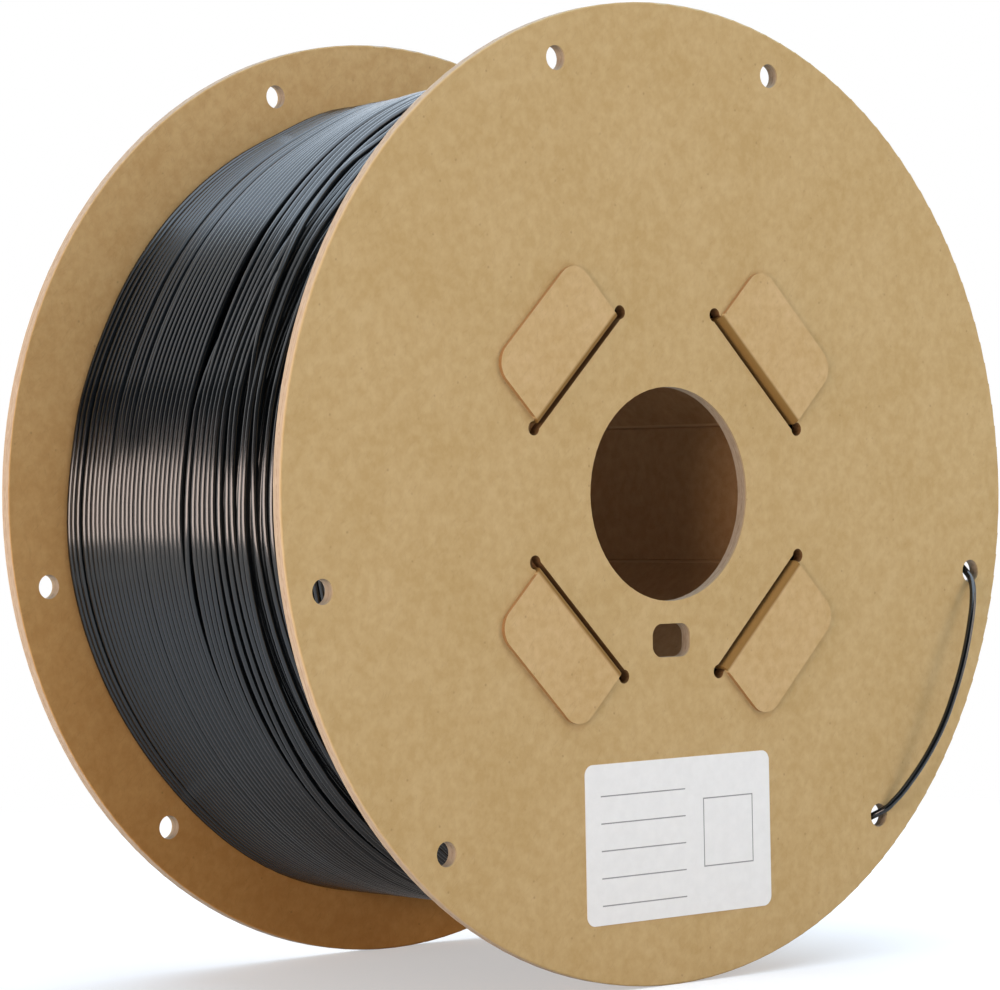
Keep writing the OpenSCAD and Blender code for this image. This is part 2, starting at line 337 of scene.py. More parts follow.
# %% [markdown]
# ## The outer turns
#
# Now the line itself. It starts at the far flange, turns clockwise as seen from the label side and
# ends exactly where the free end begins. No two turns sit at quite the same height: the tight ones
# differ by a few hundredths of a millimetre and the loose ones by a tenth or two, and it is those
# differences that make each turn catch the light by itself. For a short way three loose turns have
# slipped down between their neighbours, which opens a wide black gap, and the turn that lies across
# its neighbour rises over it. Waves of unequal length make the unevenness without any random
# numbers, so the winding is the same each time.

# %% Wind the outer turns
LOOSE_FROM, LOOSE_BY = 26, 29         # the turns between which the winding comes loose
FINE_WAVES = [(0.03, 0.37, 0), (0.02, 0.83, 1)]       # height in mm, waves in a turn, start
LOOSE_WAVES = [(0.12, 0.41, 2), (0.09, 0.67, 0)]
LIFTED = [                            # turn, half its length in turns and mm; minus is sunk
    (9.68, 0.17, -0.5), (13.66, 0.13, -0.45), (17.45, 0.12, -0.15), (26.65, 0.09, -1.6),
    (31.70, 0.1, -1.6), (33.68, 0.075, -1.6), (35.63, 0.065, 1.8), (35.78, 0.09, 1.8)]


def wavy(turn, waves):
    """The sum of a few waves along the strand, in mm."""
    return sum(high * np.sin(2 * np.pi * often * turn + start) for high, often, start in waves)


def height_of(turn):
    """How far a turn sits from the even surface, in metres; none where the free end begins."""
    loose = smooth_step((turn - LOOSE_FROM) / (LOOSE_BY - LOOSE_FROM))
    at_the_end = smooth_step((TURNS - turn) / 0.5)
    height = (wavy(turn, FINE_WAVES) + loose * wavy(turn, LOOSE_WAVES)) * at_the_end
    for at, half_length, lift in LIFTED:
        height = height + lift * smooth_step(2 - 2 * np.abs(turn - at) / half_length)
    return height * MM


turn = np.linspace(0, TURNS, TURNS * STEPS_A_TURN + 1)
angle = LEAVE_ANGLE + 2 * np.pi * (TURNS - turn)
along = along_axis(turn) + astray(turn)
line = round_points(angle, winding_radius(angle, along) - STRAND_R + height_of(turn), along)
line = np.vstack([line, TURNS_END])
a_turn_apart = np.linalg.norm(line[STEPS_A_TURN:] - line[:-STEPS_A_TURN], axis=1)
print(f"closest that a turn comes to the next: {a_turn_apart.min() / MM:.2f} mm")
outer_turns = strand("outer_turns", line, STRAND_R, TUBE_SIDES)
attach(outer_turns, "root")
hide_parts("filament_outer_turns")
outer_length = np.linalg.norm(np.diff(line, axis=0), axis=1).sum()
print(f"outer turns: {outer_length:.1f} m of filament, {len(outer_turns.data.polygons)} faces")

# %% [markdown]
# ## What shows through the gaps
#
# A gap isn't a hole. One layer down the strand lies tight, wound the other way, and it catches a
# thread of light at the bottom of each gap. Where the top layer has come loose it stands off the
# one below, so there the gaps are deeper and stay black.

# %% Wind the layer below
TURNS_BELOW = 57
STEPS_BELOW = 96                      # in a turn
SIDES_BELOW = 8                       # fewer than above, as so little of this layer shows
LAYER_DROP, LOOSE_DROP = 2.3 * MM, 3.9 * MM   # from the top layer's centre lines to this one's


def drop_to_layer(y):
    """How much deeper the layer below lies, at places on the axis; more under the loose turns."""
    loose = smooth_step((y - LOOSE_UPTO) / (LOOSE_FULLY - LOOSE_UPTO))
    return LAYER_DROP + (LOOSE_DROP - LAYER_DROP) * loose


below = np.linspace(0, TURNS_BELOW, TURNS_BELOW * STEPS_BELOW + 1)
below_angle = LEAVE_ANGLE - 2 * np.pi * (TURNS_BELOW - below)
below_along = END_Y - 2 * END_Y * below / TURNS_BELOW
below_radius = winding_radius(below_angle, below_along) - STRAND_R - drop_to_layer(below_along)
layer_below = strand("layer_below", round_points(below_angle, below_radius, below_along),
                     STRAND_R, SIDES_BELOW)
print(f"layer below: {TURNS_BELOW} turns, {LAYER_DROP / MM:.1f} to {LOOSE_DROP / MM:.1f} mm down")

# %% [markdown]
# ## The drum
#
# Under that layer nothing can be seen, so the rest of the filament is one closed drum. Its bore is
# the octagon of the folded core and its outside is as far out of round as the turns over it. Both
# are drawn with the same number of corners, so a few such loops, each joined to the next with
# four-sided faces and the last one to the first, close the whole form. The drum and the layer
# below together stand for the CAD model's inner layers.

# %% Fill the drum
CORE_APOTHEM = 43.4 * MM              # the octagonal core that the filament is wound on
DRUM_DROP = 1.4 * STRAND_D            # from the centre lines of the layer below to the drum
STEPS_ROUND = 180
drum_angle = 2 * np.pi * np.arange(STEPS_ROUND) / STEPS_ROUND
panel = math.radians(45)
drum_inner = CORE_APOTHEM / np.cos((drum_angle + panel / 2) % panel - panel / 2)
drum_end = -END_Y + STRAND_R
DRUM_ROUND = 1.5 * MM                 # the last turns of each layer leave a rounded edge
section = [                           # kind of loop, see drum_radius, and its place on the axis
    (0, -drum_end), (1, -drum_end), (2, -drum_end + DRUM_ROUND), (2, LOOSE_FULLY),
    (2, LOOSE_UPTO), (2, SUNK_FROM), (2, drum_end - DRUM_ROUND), (1, drum_end), (0, drum_end)]


def drum_radius(kind, y):
    """Radius of the drum all round: 0 on the core, 1 at the foot of its rounded edge, 2 outside."""
    outside = winding_radius(drum_angle, y) - drop_to_layer(y) - DRUM_DROP
    return [drum_inner, outside - DRUM_ROUND, outside][kind]


loops = np.stack([round_points(drum_angle, drum_radius(kind, y), np.full(STEPS_ROUND, y))
                  for kind, y in section])
corner = np.arange(len(section) * STEPS_ROUND).reshape(len(section), STEPS_ROUND)
next_loop = np.roll(corner, -1, axis=0)
drum_faces = np.stack([corner, next_loop, np.roll(next_loop, -1, axis=1),
                       np.roll(corner, -1, axis=1)], axis=-1).reshape(-1, 4)
drum_mesh = bpy.data.meshes.new("inner_layers")
drum_mesh.from_pydata(loops.reshape(-1, 3).tolist(), [], drum_faces.tolist())
inner_layers = bpy.data.objects.new("inner_layers", drum_mesh)
bpy.context.scene.collection.objects.link(inner_layers)
for piece in (layer_below, inner_layers):
    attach(piece, "root")
    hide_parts("filament_inner_layers")
print(f"drum: {len(drum_mesh.polygons)} faces")

# %% [markdown]
# ## Helpers for materials
#
# A colour is written as the hex value that a paint chart would give, and one function turns it to
# the linear numbers that Blender works with. Another adds a node, with its settings as keywords and
# its inputs as values or as links. The other two start an empty material and put one on a piece.
#
# Pattern sizes are always given in real millimetres. A noise node's own scale counts grains in a
# metre, so 1000 / 14 makes one every 14 mm. A Mapping node set to Texture divides by its scale, so
# there the scale is simply the size of one grain.

# %% Define the helpers
def colour(hex_code):
    """sRGB hex to linear RGBA."""
    channels = [int(hex_code[i:i + 2], 16) / 255 for i in (1, 3, 5)]
    return [c / 12.92 if c <= 0.04045 else ((c + 0.055) / 1.055) ** 2.4 for c in channels] + [1]


def add(tree, kind, inputs=None, **settings):
    """Adds a shader node; inputs maps a socket's name or number to a value or another socket."""
    made = tree.nodes.new("ShaderNode" + kind)
    for name, value in settings.items():
        setattr(made, name, value)
    for key, value in (inputs or {}).items():
        if isinstance(value, bpy.types.NodeSocket):
            tree.links.new(value, made.inputs[key])
        else:
            made.inputs[key].default_value = value
    return made


def new_material(name):
    """An empty node material and its tree."""
    material = bpy.data.materials.new(name)
    material.use_nodes = True
    material.node_tree.nodes.clear()
    return material, material.node_tree


def dress(piece, material):
    """The piece shows that material all over."""
    piece.data.materials.clear()
    piece.data.materials.append(material)


print("kraft in linear light:", [round(c, 3) for c in colour("#BEA274")])

# %% [markdown]
# ## Filament: extruded PETG, black
#
# PETG is drawn through a round die and cooled in water, which leaves it smooth and glossy, with
# very fine lines along the strand. Black PETG has almost no colour of its own; what the eye sees is
# the studio mirrored in thousands of thin cylinders. So the base colour is near black, the index of
# refraction is PETG's 1.57, and the care goes into roughness: low, with slow changes along the
# strand and a little dust.

# %% Make the filament's plastic
def extruded_petg():
    material, tree = new_material("extruded_black_petg")
    place = add(tree, "TexCoord").outputs["Object"]
    slow = add(tree, "TexNoise", {"Vector": place, "Scale": 1000 / 14, "Detail": 2.0})
    roughness = add(tree, "MapRange", {"Value": slow.outputs["Fac"], "From Min": 0.3,
                                       "From Max": 0.7, "To Min": 0.13, "To Max": 0.18})
    dust = add(tree, "TexNoise", {"Vector": place, "Scale": 1000 / 0.8, "Detail": 3.0})
    dust_amount = add(tree, "MapRange", {"Value": dust.outputs["Fac"], "From Min": 0.5,
                                         "From Max": 0.8, "To Max": 0.3})
    body = add(tree, "Mix", {0: dust_amount.outputs["Result"], 6: colour("#0C1013"),
                             7: colour("#171D21")}, data_type="RGBA")
    shader = add(tree, "BsdfPrincipled", {"Base Color": body.outputs[2], "IOR": 1.57,
                                          "Roughness": roughness.outputs["Result"]})
    add(tree, "OutputMaterial", {"Surface": shader.outputs["BSDF"]})
    return material


filament_plastic = extruded_petg()
for piece in (free_end, outer_turns, layer_below, inner_layers):
    dress(piece, filament_plastic)
print("filament dressed:", filament_plastic.name)

# %% [markdown]
# ## Kraft board
#
# The flanges are die-cut from grey-brown board with a kraft liner pasted on. Kraft liner is
# unbleached paper: a yellow-brown with slow cloudy patches some millimetres across, a few dark
# specks of bark and short pale and dark fibres lying every way in the sheet. Each of these gets a
# small function that gives back a colour, because the liner, the inner liner and the core's card
# only differ in their tones. The clouds come first, in two sizes.

# %% Mix the clouds
def patches(tree, place, size, low, high, detail=3.0):
    """0 to 1 in cloudy patches of that size in mm; low and high set the contrast."""
    noise = add(tree, "TexNoise", {"Vector": place, "Scale": 1000 / size, "Detail": detail,
                                   "Roughness": 0.55})
    return add(tree, "MapRange", {"Value": noise.outputs["Fac"], "From Min": low,
                                  "From Max": high}).outputs["Result"]


def cloudy_paper(tree, place, plain, light):
    """A colour socket that drifts between two tones."""
    broad = patches(tree, place, 20, 0.32, 0.68, 2.0)
    fine = patches(tree, place, 2.6, 0.35, 0.7)
    cloudy = add(tree, "Math", {0: broad, 1: 0.7, 2: -0.35}, operation="MULTIPLY_ADD")
    cloudy = add(tree, "Math", {0: fine, 1: 1.3, 2: cloudy.outputs["Value"]},
                 operation="MULTIPLY_ADD")
    return add(tree, "Mix", {0: cloudy.outputs["Value"], 6: colour(plain), 7: colour(light)},
               data_type="RGBA", clamp_factor=False).outputs[2]


print("clouds mixed: 20 and 2.6 mm across")

# %% [markdown]
# ## Fibres
#
# A fibre is a patch that is long one way, so a noise in a stretched and turned space draws many of
# them at once, and bending that space first makes them curl.

# %% Lay fibres in the paper
FIBRE = (2.6, 0.8, 0.2)               # length, depth and width of a fibre in mm, drawn coarse
FIBRE_BEND = 3                        # mm that a fibre may be pushed aside


def with_fibres(tree, place, paper, light, dark):
    """The same paper with pale fibres leaning one way and dark ones two others."""
    bend = add(tree, "TexNoise", {"Vector": place, "Scale": 1000 / 7, "Detail": 1.0})
    bent = add(tree, "VectorMath", {0: bend.outputs["Color"],
                                    1: (FIBRE_BEND * MM, 0, FIBRE_BEND * MM), 2: place},
               operation="MULTIPLY_ADD")
    for lean, strength, tone in ((20, 0.5, light), (-45, 0.26, dark), (80, 0.2, dark)):
        sheet = add(tree, "Mapping", {"Vector": bent.outputs["Vector"],
                                      "Rotation": (0, math.radians(lean), 0),
                                      "Scale": [size * MM for size in FIBRE]},
                    vector_type="TEXTURE")
        fibres = add(tree, "TexNoise", {"Vector": sheet.outputs["Vector"], "Scale": 1.0,
                                        "Detail": 2.0})
        amount = add(tree, "MapRange", {"Value": fibres.outputs["Fac"], "From Min": 0.6,
                                        "From Max": 0.78, "To Max": strength})
        paper = add(tree, "Mix", {0: amount.outputs["Result"], 6: paper, 7: colour(tone)},
                    data_type="RGBA").outputs[2]
    return paper


print(f"fibres {FIBRE[0]} mm long and {FIBRE[2]} mm wide")

# %% [markdown]
# ## Specks
#
# A Voronoi pattern parts the sheet in cells. Each cell comes with a random colour, and only where
# its red is high does the cell show its centre as a speck. With that, the paper is complete.

# %% Add the specks
SPECK_CELL = 2.4                      # mm; real specks are finer than a pixel, so these are larger


def with_specks(tree, place, paper, dark):
    """The same paper with a dark speck here and there."""
    cells = add(tree, "TexVoronoi", {"Vector": place, "Scale": 1000 / SPECK_CELL})
    kept = add(tree, "SeparateColor", {"Color": cells.outputs["Color"]})
    few = add(tree, "MapRange", {"Value": kept.outputs["Red"], "From Min": 0.82,
                                 "From Max": 0.92, "To Max": 0.5})
    near = add(tree, "MapRange", {"Value": cells.outputs["Distance"], "From Min": 0.17,
                                  "From Max": 0.05})
    speck = add(tree, "Math", {0: few.outputs["Result"], 1: near.outputs["Result"]},
                operation="MULTIPLY")
    return add(tree, "Mix", {0: speck.outputs["Value"], 6: paper, 7: colour(dark)},
               data_type="RGBA").outputs[2]


def kraft_paper(tree, place, plain, light, dark):
    """A colour socket: cloudy paper with fibres and specks."""
    paper = with_fibres(tree, place, cloudy_paper(tree, place, plain, light), light, dark)
    return with_specks(tree, place, paper, dark)


print(f"at most one speck in a cell of {SPECK_CELL} mm")

# %% [markdown]
# ## Measures inside a material
#
# Wear, folds and cut edges follow the construction, so a material has to know where on the piece it
# is. Object coordinates tell it that, because all the pieces share one origin. Two measures are
# enough: how far a vector reaches along one axis, and how far a place is from the hub's axis,
# square to the nearest of the four tabs. The tabs stand at 45 degrees, so that second measure is
# |x| and |z| added up and divided by the root of two. All the paper also shares one fine bump.

# %% Define the measures and the bump
def reach(tree, vector, axis):
    """How far a vector reaches along one axis, whichever way it points."""
    parts = add(tree, "SeparateXYZ", {"Vector": vector})
    return add(tree, "Math", {0: parts.outputs[axis]}, operation="ABSOLUTE").outputs["Value"]


def square_to_tabs(tree, place):
    """Distance from the axis, measured square to the nearest of the four tabs."""
    both = add(tree, "Math", {0: reach(tree, place, "X"), 1: reach(tree, place, "Z")},
               operation="ADD")
    return add(tree, "Math", {0: both.outputs["Value"], 1: math.sqrt(0.5)},
               operation="MULTIPLY").outputs["Value"]


def looks_along_axis(tree):
    """1 on a surface that looks along the hub's axis, 0 on one that looks square to it."""
    return reach(tree, add(tree, "NewGeometry").outputs["Normal"], "Y")


TOOTH = 0.5                           # mm between the tufts of uncoated paper


def paper_bump(tree, place, depth):
    """A normal socket: the fine tooth of uncoated paper; depth in mm."""
    tooth = add(tree, "TexNoise", {"Vector": place, "Scale": 1000 / TOOTH, "Detail": 4.0,
                                   "Roughness": 0.65})
    return add(tree, "Bump", {"Height": tooth.outputs["Fac"], "Distance": depth * MM,
                              "Strength": 0.5}).outputs["Normal"]


print(f"paper bump: one tuft every {TOOTH} mm")

# %% [markdown]
# ## Cut edges
#
# Where the die has cut through, the board shows its inside: a paler, pinkish grey pulp in thin
# layers that follow the faces, with the liner's colour in the outermost few tenths and a fine
# broken line of glue where the two plies meet. The walls of the slots are painted browner: painted
# shade inside the narrow slots. Which layer a place is in follows from its distance from mid-width.

# %% Mix the colour of a cut edge
PULP = (2.4, 0.22, 2.4)               # length, thickness and width of a layer of pulp in mm
SLOT_AT, SLOT_HALF = 42.4 * MM, 2.5 * MM      # middle of a slot and its reach, square to its tab
GLUE_AT = INSIDE_Y + PLY_T


def cut_edge(tree, place):
    """A colour socket: layered pulp, glue between the plies, the liner's edge, painted slot shade.
    """
    from_middle = reach(tree, place, "Y")
    layers = add(tree, "Mapping", {"Vector": place, "Scale": [size * MM for size in PULP]},
                 vector_type="TEXTURE")
    pulp_noise = add(tree, "TexNoise", {"Vector": layers.outputs["Vector"], "Scale": 1.0,
                                        "Detail": 3.0})
    pulp_spread = add(tree, "MapRange", {"Value": pulp_noise.outputs["Fac"], "From Min": 0.35,
                                         "From Max": 0.65})
    pulp = add(tree, "Mix", {0: pulp_spread.outputs["Result"], 6: colour("#9E8A72"),
                             7: colour("#B09E87")}, data_type="RGBA")
    off_glue = add(tree, "Math", {0: from_middle, 1: GLUE_AT}, operation="SUBTRACT")
    off_glue_size = add(tree, "Math", {0: off_glue.outputs["Value"]}, operation="ABSOLUTE")
    glue_line = add(tree, "MapRange", {"Value": off_glue_size.outputs["Value"],
                                       "From Min": 0.22 * MM, "From Max": 0.06 * MM})
    dashes = add(tree, "TexNoise", {"Vector": place, "Scale": 1000 / 1.1, "Detail": 2.0})
    broken = add(tree, "MapRange", {"Value": dashes.outputs["Fac"], "From Min": 0.4,
                                    "From Max": 0.62, "To Max": 0.5})
    glue = add(tree, "Math", {0: glue_line.outputs["Result"], 1: broken.outputs["Result"]},
               operation="MULTIPLY")
    glued = add(tree, "Mix", {0: glue.outputs["Value"], 6: pulp.outputs[2],
                              7: colour("#80644C")}, data_type="RGBA")
    skin = add(tree, "MapRange", {"Value": from_middle, "From Min": FACE_Y - 0.55 * MM,
                                  "From Max": FACE_Y - 0.4 * MM})
    edge = add(tree, "Mix", {0: skin.outputs["Result"], 6: glued.outputs[2],
                             7: colour("#B7A07A")}, data_type="RGBA")
    # Slot walls are painted a darker brown: painted shade inside the narrow slots.
    slot_wall_painted_shade = add(tree, "Math", {0: square_to_tabs(tree, place), 1: SLOT_AT, 2: SLOT_HALF},
                    operation="COMPARE")
    return add(tree, "Mix", {0: slot_wall_painted_shade.outputs["Value"], 6: edge.outputs[2],
                             7: colour("#7E5A34")}, data_type="RGBA").outputs[2]


print(f"glue line {GLUE_AT / MM:.1f} mm from mid-width, slots {SLOT_AT / MM:.1f} mm from the axis")

# %% [markdown]
# ## The flanges
#
# The board is kraft paper on its faces and pulp at its cut edges, and the shader tells the two
# apart by the direction that the surface looks in. The liner on the inner faces is a cheaper paper
# with a material of its own. A colour multiplied in makes it greyish tan at the top of the disc and
# a warmer brown at its foot. That is painted light: it stands for the warm light bounced between
# the flanges and the shade low in the gap. It leaves the fibres and specks as they are.

# %% Make the board and dress the flanges
def kraft_board(name, plain, light, dark, painted_shade_at_foot=None):
    """Kraft-lined board; a colour at the foot paints warm shade low on the disc, else it is even."""
    material, tree = new_material(name)
    place = add(tree, "TexCoord").outputs["Object"]
    face = kraft_paper(tree, place, plain, light, dark)
    # Warmer and browner towards the foot of the disc: painted light for bounced light and low shade.
    if painted_shade_at_foot:
        height = add(tree, "SeparateXYZ", {"Vector": place}).outputs["Z"]
        upwards = add(tree, "MapRange", {"Value": height, "From Min": -FLANGE_R,
                                         "From Max": FLANGE_R})
        tint = add(tree, "Mix", {0: upwards.outputs["Result"], 6: colour(painted_shade_at_foot),
                                 7: colour("#FFFFFF")}, data_type="RGBA")
        face = add(tree, "Mix", {0: 1.0, 6: face, 7: tint.outputs[2]}, data_type="RGBA",
                   blend_type="MULTIPLY").outputs[2]
    is_face = add(tree, "MapRange", {"Value": looks_along_axis(tree), "From Min": 0.45,
                                     "From Max": 0.85})
    shown = add(tree, "Mix", {0: is_face.outputs["Result"], 6: cut_edge(tree, place), 7: face},
                data_type="RGBA")
    shader = add(tree, "BsdfPrincipled", {"Base Color": shown.outputs[2], "Roughness": 0.82,
                                          "Specular IOR Level": 0.3,
                                          "Normal": paper_bump(tree, place, 0.05)})
    add(tree, "OutputMaterial", {"Surface": shader.outputs["BSDF"]})
    return material


board_outside = kraft_board("die_cut_kraft_board", "#BC9D69", "#C3A573", "#8E7248")
# The inner liner carries painted warm shade towards the foot of each disc.
board_inside = kraft_board("die_cut_kraft_board_inner_liner", "#BF9E6A", "#C7A875", "#877048",
                           painted_shade_at_foot="#FFE0B4")
for side in ("front", "back"):
    dress(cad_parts[side + "_flange_outer_ply"], board_outside)
    dress(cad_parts[side + "_flange_inner_ply"], board_inside)
print("flanges dressed:", board_outside.name, "and", board_inside.name)

# %% [markdown]
# ## The folded core
#
# The core is one sheet of thinner kraft card, creased into eight panels. Its tabs come out through
# the flanges and are folded flat. Round such a fold, where the card turns down into its slot, it is
# painted a darker brown: painted shade of the slot. In the creases inside, the crushed card leaves
# a paler line, and the inside of the hollow core is a darker copy of the card: painted shade. The
# folds and creases follow from the geometry: a fold lies at a fixed distance from the axis, measured
# square to its panel, and a crease at a fixed angle.

# %% Make the card and dress the core
def creased_card():
    material, tree = new_material("creased_kraft_card")
    place = add(tree, "TexCoord").outputs["Object"]
    face = kraft_paper(tree, place, "#C1A06C", "#C9A978", "#94774D")
    from_axis = square_to_tabs(tree, place)
    # Near a tab's fold the card is painted dark brown: painted shade where it turns into the slot.
    painted_fold_shade = add(tree, "MapRange", {"Value": from_axis, "From Min": CORE_APOTHEM + 0.9 * MM,
                                       "From Max": CORE_APOTHEM + 0.2 * MM})
    card = add(tree, "Mix", {0: painted_fold_shade.outputs["Result"], 6: face, 7: colour("#88642F")},
               data_type="RGBA")
    # Darker cut edges on the tabs: partly the card's own cut edge, partly painted shade along them.
    cut = add(tree, "MapRange", {"Value": looks_along_axis(tree), "From Min": 0.75,
                                 "From Max": 0.5})
    on_tab = add(tree, "MapRange", {"Value": from_axis, "From Min": CORE_APOTHEM + 1.0 * MM,
                                    "From Max": CORE_APOTHEM + 1.4 * MM})
    cut_tab = add(tree, "Math", {0: cut.outputs["Result"], 1: on_tab.outputs["Result"]},
                  operation="MULTIPLY")
    card = add(tree, "Mix", {0: cut_tab.outputs["Value"], 6: card.outputs[2],
                             7: colour("#A0784A")}, data_type="RGBA")

    # The inside of the hollow core uses a darker copy of the card: painted shade of the hub's
    # hollow.
    inside = kraft_paper(tree, place, "#A27A4E", "#AB8559", "#785834")
    for one, other in ("XZ", "ZX"):
        off = add(tree, "Math", {0: reach(tree, place, one), 1: -math.tan(math.radians(22.5)),
                                 2: reach(tree, place, other)}, operation="MULTIPLY_ADD")
        off_size = add(tree, "Math", {0: off.outputs["Value"]}, operation="ABSOLUTE")
        crease = add(tree, "MapRange", {"Value": off_size.outputs["Value"],
                                        "From Min": 0.7 * MM, "From Max": 0.25 * MM})
        inside = add(tree, "Mix", {0: crease.outputs["Result"], 6: inside,
                                   7: colour("#B8946A")}, data_type="RGBA").outputs[2]
    deep = add(tree, "MapRange", {"Value": reach(tree, place, "Y"),
                                  "From Min": FACE_Y - 2.2 * MM, "From Max": FACE_Y - 3.0 * MM})
    card = add(tree, "Mix", {0: deep.outputs["Result"], 6: card.outputs[2], 7: inside},
               data_type="RGBA").outputs[2]
    shader = add(tree, "BsdfPrincipled", {"Base Color": card, "Roughness": 0.8,
                                          "Specular IOR Level": 0.3,
                                          "Normal": paper_bump(tree, place, 0.04)})
    add(tree, "OutputMaterial", {"Surface": shader.outputs["BSDF"]})
    return material


card = creased_card()
dress(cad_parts["core_sleeve"], card)
print("core dressed:", card.name)

# %% [markdown]
# ## The label
#
# A self-adhesive label of white coated paper. It carries only what any blank write-on label has:
# ruled lines and an empty box. They are thin enough that a texture serves better than geometry.
# Each line is a distance from a height on the label, so the pattern is a few sums and no image.

# %% Draw the label's lines
RULE_FROM, RULE_TO = -26.0, 2.0       # ends of the ruled lines, in mm from the label's centre
RULE_HEIGHTS = [11.5 - 6.6 * number for number in range(5)]
BOX_X, BOX_Z, BOX_HALF = 16.5, 0.5, 8.5       # centre of the empty box and half its side, in mm
INK_WIDE = 0.3                        # mm


def ink_on(tree, on_label):
    """1 on the label's lines and 0 off them, from a place measured from the label's centre."""
    parts = add(tree, "SeparateXYZ", {"Vector": on_label})
    right, up = parts.outputs["X"], parts.outputs["Z"]

    def bar(left, low, wide, high):
        """1 inside a rectangle on the label; corner and size in mm."""
        across = add(tree, "Math", {0: right, 1: (left + wide / 2) * MM, 2: wide / 2 * MM},
                     operation="COMPARE")
        upright = add(tree, "Math", {0: up, 1: (low + high / 2) * MM, 2: high / 2 * MM},
                      operation="COMPARE")
        return add(tree, "Math", {0: across.outputs["Value"], 1: upright.outputs["Value"]},
                   operation="MULTIPLY").outputs["Value"]

    bars = [bar(RULE_FROM, height, RULE_TO - RULE_FROM, INK_WIDE) for height in RULE_HEIGHTS]
    for edge in (BOX_Z - BOX_HALF, BOX_Z + BOX_HALF - INK_WIDE):
        bars.append(bar(BOX_X - BOX_HALF, edge, 2 * BOX_HALF, INK_WIDE))
    for edge in (BOX_X - BOX_HALF, BOX_X + BOX_HALF - INK_WIDE):
        bars.append(bar(edge, BOX_Z - BOX_HALF, INK_WIDE, 2 * BOX_HALF))
    ink = bars[0]
    for line in bars[1:]:
        ink = add(tree, "Math", {0: ink, 1: line}, operation="MAXIMUM").outputs["Value"]
    return ink


print(f"{len(RULE_HEIGHTS)} ruled lines and a box of {2 * BOX_HALF:.0f} mm")

# %% [markdown]
# ## The label's paper
#
# The coating fills the paper's pores, so the label is smoother and whiter than the board and has a
# slight sheen; only a faint cloudiness tells of the sheet below. Someone stuck it on by hand, a
# little askew, and the lines turn with it.

# %% Make the label's paper
LABEL_TILT = math.radians(0.6)
LABEL_CENTRE = (label_low + label_high) / 2


def label_paper():
    material, tree = new_material("coated_label_paper")
    place = add(tree, "TexCoord").outputs["Object"]
    on_label = add(tree, "Mapping", {"Vector": place, "Location": LABEL_CENTRE,
                                     "Rotation": (0, -LABEL_TILT, 0)}, vector_type="TEXTURE")
    grain = patches(tree, place, 2.5, 0.3, 0.7)
    sheet = add(tree, "Mix", {0: grain, 6: colour("#E9E8E5"), 7: colour("#EEEDEA")},
                data_type="RGBA")
    printed = add(tree, "Mix", {0: ink_on(tree, on_label.outputs["Vector"]),
                                6: sheet.outputs[2], 7: colour("#8E8D8B")}, data_type="RGBA")
    shader = add(tree, "BsdfPrincipled", {"Base Color": printed.outputs[2], "Roughness": 0.5,
                                          "Specular IOR Level": 0.4})
    add(tree, "OutputMaterial", {"Surface": shader.outputs["BSDF"]})
    return material


paper = label_paper()
dress(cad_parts["label"], paper)
print("label dressed:", paper.name)

# %% [markdown]
# ## Light paths
#
# A surface can answer differently to the camera and to the light that bounces between things. The
# Light Path node tells which of the two is asking. Here it lets the background be pure white to
# look at, also in a reflection, while it lights the matt board only dimly.

# %% Tell what is seen from what only lights
def seen_directly(tree):
    """1 for what the camera sees, in person or mirrored in something glossy, and 0 for light."""
    ray = add(tree, "LightPath")
    mirrored = add(tree, "Math", {0: ray.outputs["Is Glossy Ray"],
                                  1: ray.outputs["Is Transmission Ray"]}, operation="MAXIMUM")
    return add(tree, "Math", {0: ray.outputs["Is Camera Ray"], 1: mirrored.outputs["Value"]},
               operation="MAXIMUM").outputs["Value"]


print("defined:", seen_directly.__name__)

# %% [markdown]
# ## The floor
#
# The spool stands on a plain white sweep. Lit paper is never pure white by itself, so to the
# camera, and a little less to anything glossy, the floor glows on top of the light that falls on
# it: the shadow under the spool stays, and away from it the floor runs into the white surroundings
# without a horizon.

# %% Lay the floor
FLOOR_HALF = 6.0                      # metres


def white_sweep():
    material, tree = new_material("white_paper_sweep")
    place = add(tree, "TexCoord").outputs["Object"]
    away = add(tree, "VectorMath", {0: place}, operation="LENGTH")
    far = add(tree, "MapRange", {"Value": away.outputs["Value"], "From Min": 0.25,
                                 "From Max": 0.55}, interpolation_type="SMOOTHSTEP")
    lit = add(tree, "BsdfDiffuse", {"Color": colour("#CDCDCD")})
    ray = add(tree, "LightPath")
    for_lens = add(tree, "Math", {0: ray.outputs["Is Camera Ray"], 1: 0.25}, operation="MULTIPLY")
    glow_strength = add(tree, "Math", {0: seen_directly(tree), 1: 0.15,
                                       2: for_lens.outputs["Value"]}, operation="MULTIPLY_ADD")
    glow = add(tree, "Emission", {"Color": colour("#FFFFFF"),
                                  "Strength": glow_strength.outputs["Value"]})
    both = add(tree, "AddShader", {0: lit.outputs["BSDF"], 1: glow.outputs["Emission"]})
    white = add(tree, "Emission", {"Color": colour("#FFFFFF"), "Strength": 1.0})
    for_camera = add(tree, "MixShader", {0: far.outputs["Result"], 1: both.outputs["Shader"],
                                         2: white.outputs["Emission"]})
    shown = add(tree, "MixShader", {0: seen_directly(tree), 1: lit.outputs["BSDF"],
                                    2: for_camera.outputs["Shader"]})
    add(tree, "OutputMaterial", {"Surface": shown.outputs["Shader"]})
    return material


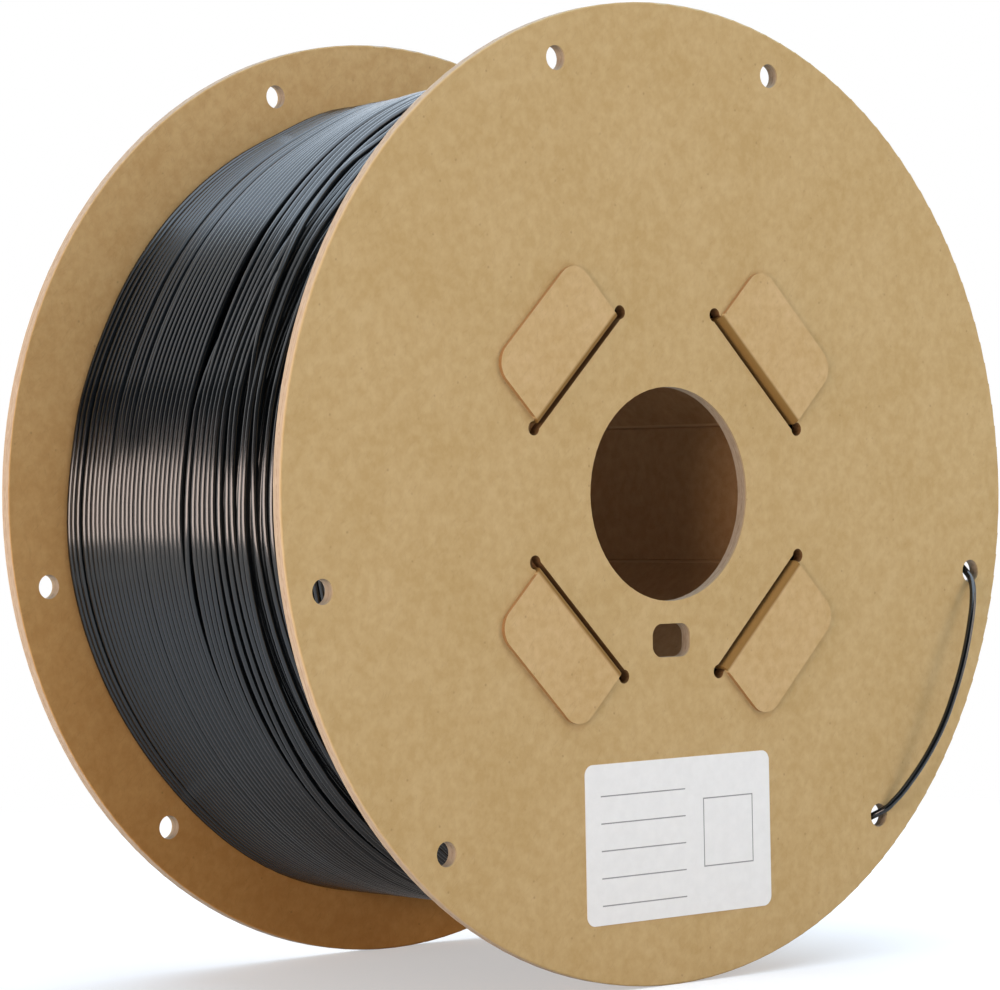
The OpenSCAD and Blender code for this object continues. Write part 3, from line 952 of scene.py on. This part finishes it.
floor_mesh = bpy.data.meshes.new("floor")
floor_mesh.from_pydata([(x * FLOOR_HALF, y * FLOOR_HALF, 0)
                        for x, y in ((-1, -1), (1, -1), (1, 1), (-1, 1))], [], [(0, 1, 2, 3)])
floor = bpy.data.objects.new("floor", floor_mesh)
floor.location.z = FLOOR_Z
bpy.context.scene.collection.objects.link(floor)
dress(floor, white_sweep())
print("floor at", round(FLOOR_Z / MM, 1), "mm")

# %% [markdown]
# ## The surroundings
#
# The world does two jobs. To the camera, and to anything glossy, it is a white wall, with a
# strength of exactly 1. As a light it is only a dim, even fill, because the lamps do the rest.

# %% Light the surroundings
world = bpy.data.worlds.new("white_studio")
world.use_nodes = True
sky = world.node_tree
sky.nodes.clear()
fill = add(sky, "Background", {"Color": colour("#FFFFFF"), "Strength": 0.26})
white = add(sky, "Background", {"Color": colour("#FFFFFF"), "Strength": 1.0})
mixed = add(sky, "MixShader", {0: seen_directly(sky), 1: fill.outputs["Background"],
                               2: white.outputs["Background"]})
add(sky, "OutputWorld", {"Surface": mixed.outputs["Shader"]})
bpy.context.scene.world = world
bpy.context.scene.view_settings.view_transform = "Standard"
print("surroundings:", world.name)

# %% [markdown]
# ## The lamps
#
# Four soft boxes, as in a small studio. A wide cool one overhead gives the winding its pale top
# sheen. A long warm one stands at the left, level with the spool: its reflection is the narrow
# bright band half-way up the winding. A lit backdrop behind the spool fills the far side. The key
# lamp stands in front to the right, so that tabs and strand throw their soft shadows to the left.
# Each lamp's power is worked out from the brightness that its surface should have, because that is
# what a glossy strand mirrors.

# %% Set up the lamps
def soft_box(name, at, aim, wide, high, brightness, hex_code):
    """A rectangular lamp, sizes in metres; at a brightness of 1 its surface would render white."""
    light = bpy.data.lights.new(name, "AREA")
    light.shape = "RECTANGLE"
    light.size, light.size_y = wide, high
    light.energy = brightness * math.pi * wide * high
    light.color = colour(hex_code)[:3]
    lamp = bpy.data.objects.new(name, light)
    lamp.location = at
    lamp.rotation_mode = "QUATERNION"
    lamp.rotation_quaternion = (Vector(aim) - Vector(at)).to_track_quat("-Z", "Y")
    lamp.visible_camera = False
    bpy.context.scene.collection.objects.link(lamp)


soft_box("overhead", (0.42, 0.1, 1.1), (0.42, 0.1, 0), 1.76, 2.3, 2.8, "#D0E8FF")
soft_box("left_strip", (-1.15, -0.03, 0.035), (0, -0.03, 0.035), 1.35, 0.45, 10.2, "#FFE8DB")
soft_box("backdrop", (0.2, 2.2, 0.75), (0.2, 0, 0.2), 3.0, 1.7, 1.1, "#EEF5FF")
soft_box("key", (1.0, -1.3, 0.6), (0, 0, 0), 0.9, 0.9, 3.2, "#FFEAD4")

# %% [markdown]
# ## Black cards
#
# Two black cards, seen only in reflections, keep the black plastic black, as they do in a real
# studio. One stands behind the camera. The other stands over the left lamp and sets off the upper
# edge of its reflection. Velvet is the usual cover for such a card: it sends back almost no light.

# %% Stand the black cards
black, black_tree = new_material("black_velvet")
velvet = add(black_tree, "BsdfDiffuse", {"Color": colour("#0A0A0A")})
add(black_tree, "OutputMaterial", {"Surface": velvet.outputs["BSDF"]})


def dark_card(name, at, turned, wide, low, high):
    """An upright black card that only reflections see; turned in degrees, sizes in metres."""
    mesh = bpy.data.meshes.new(name)
    mesh.from_pydata([(-wide / 2, 0, low), (wide / 2, 0, low), (wide / 2, 0, high),
                      (-wide / 2, 0, high)], [], [(0, 1, 2, 3)])
    card = bpy.data.objects.new(name, mesh)
    card.location = at
    card.rotation_euler.z = math.radians(turned)
    bpy.context.scene.collection.objects.link(card)
    for kind in ("camera", "diffuse", "transmission", "shadow", "volume_scatter"):
        setattr(card, "visible_" + kind, False)
    dress(card, black)


dark_card("card_behind_camera", (-1.03, -1.23, 0), -40, 3.2, -0.1, 2.0)
dark_card("card_over_strip", (-1.2, 0.05, 0), -90, 2.0, 0.27, 0.72)
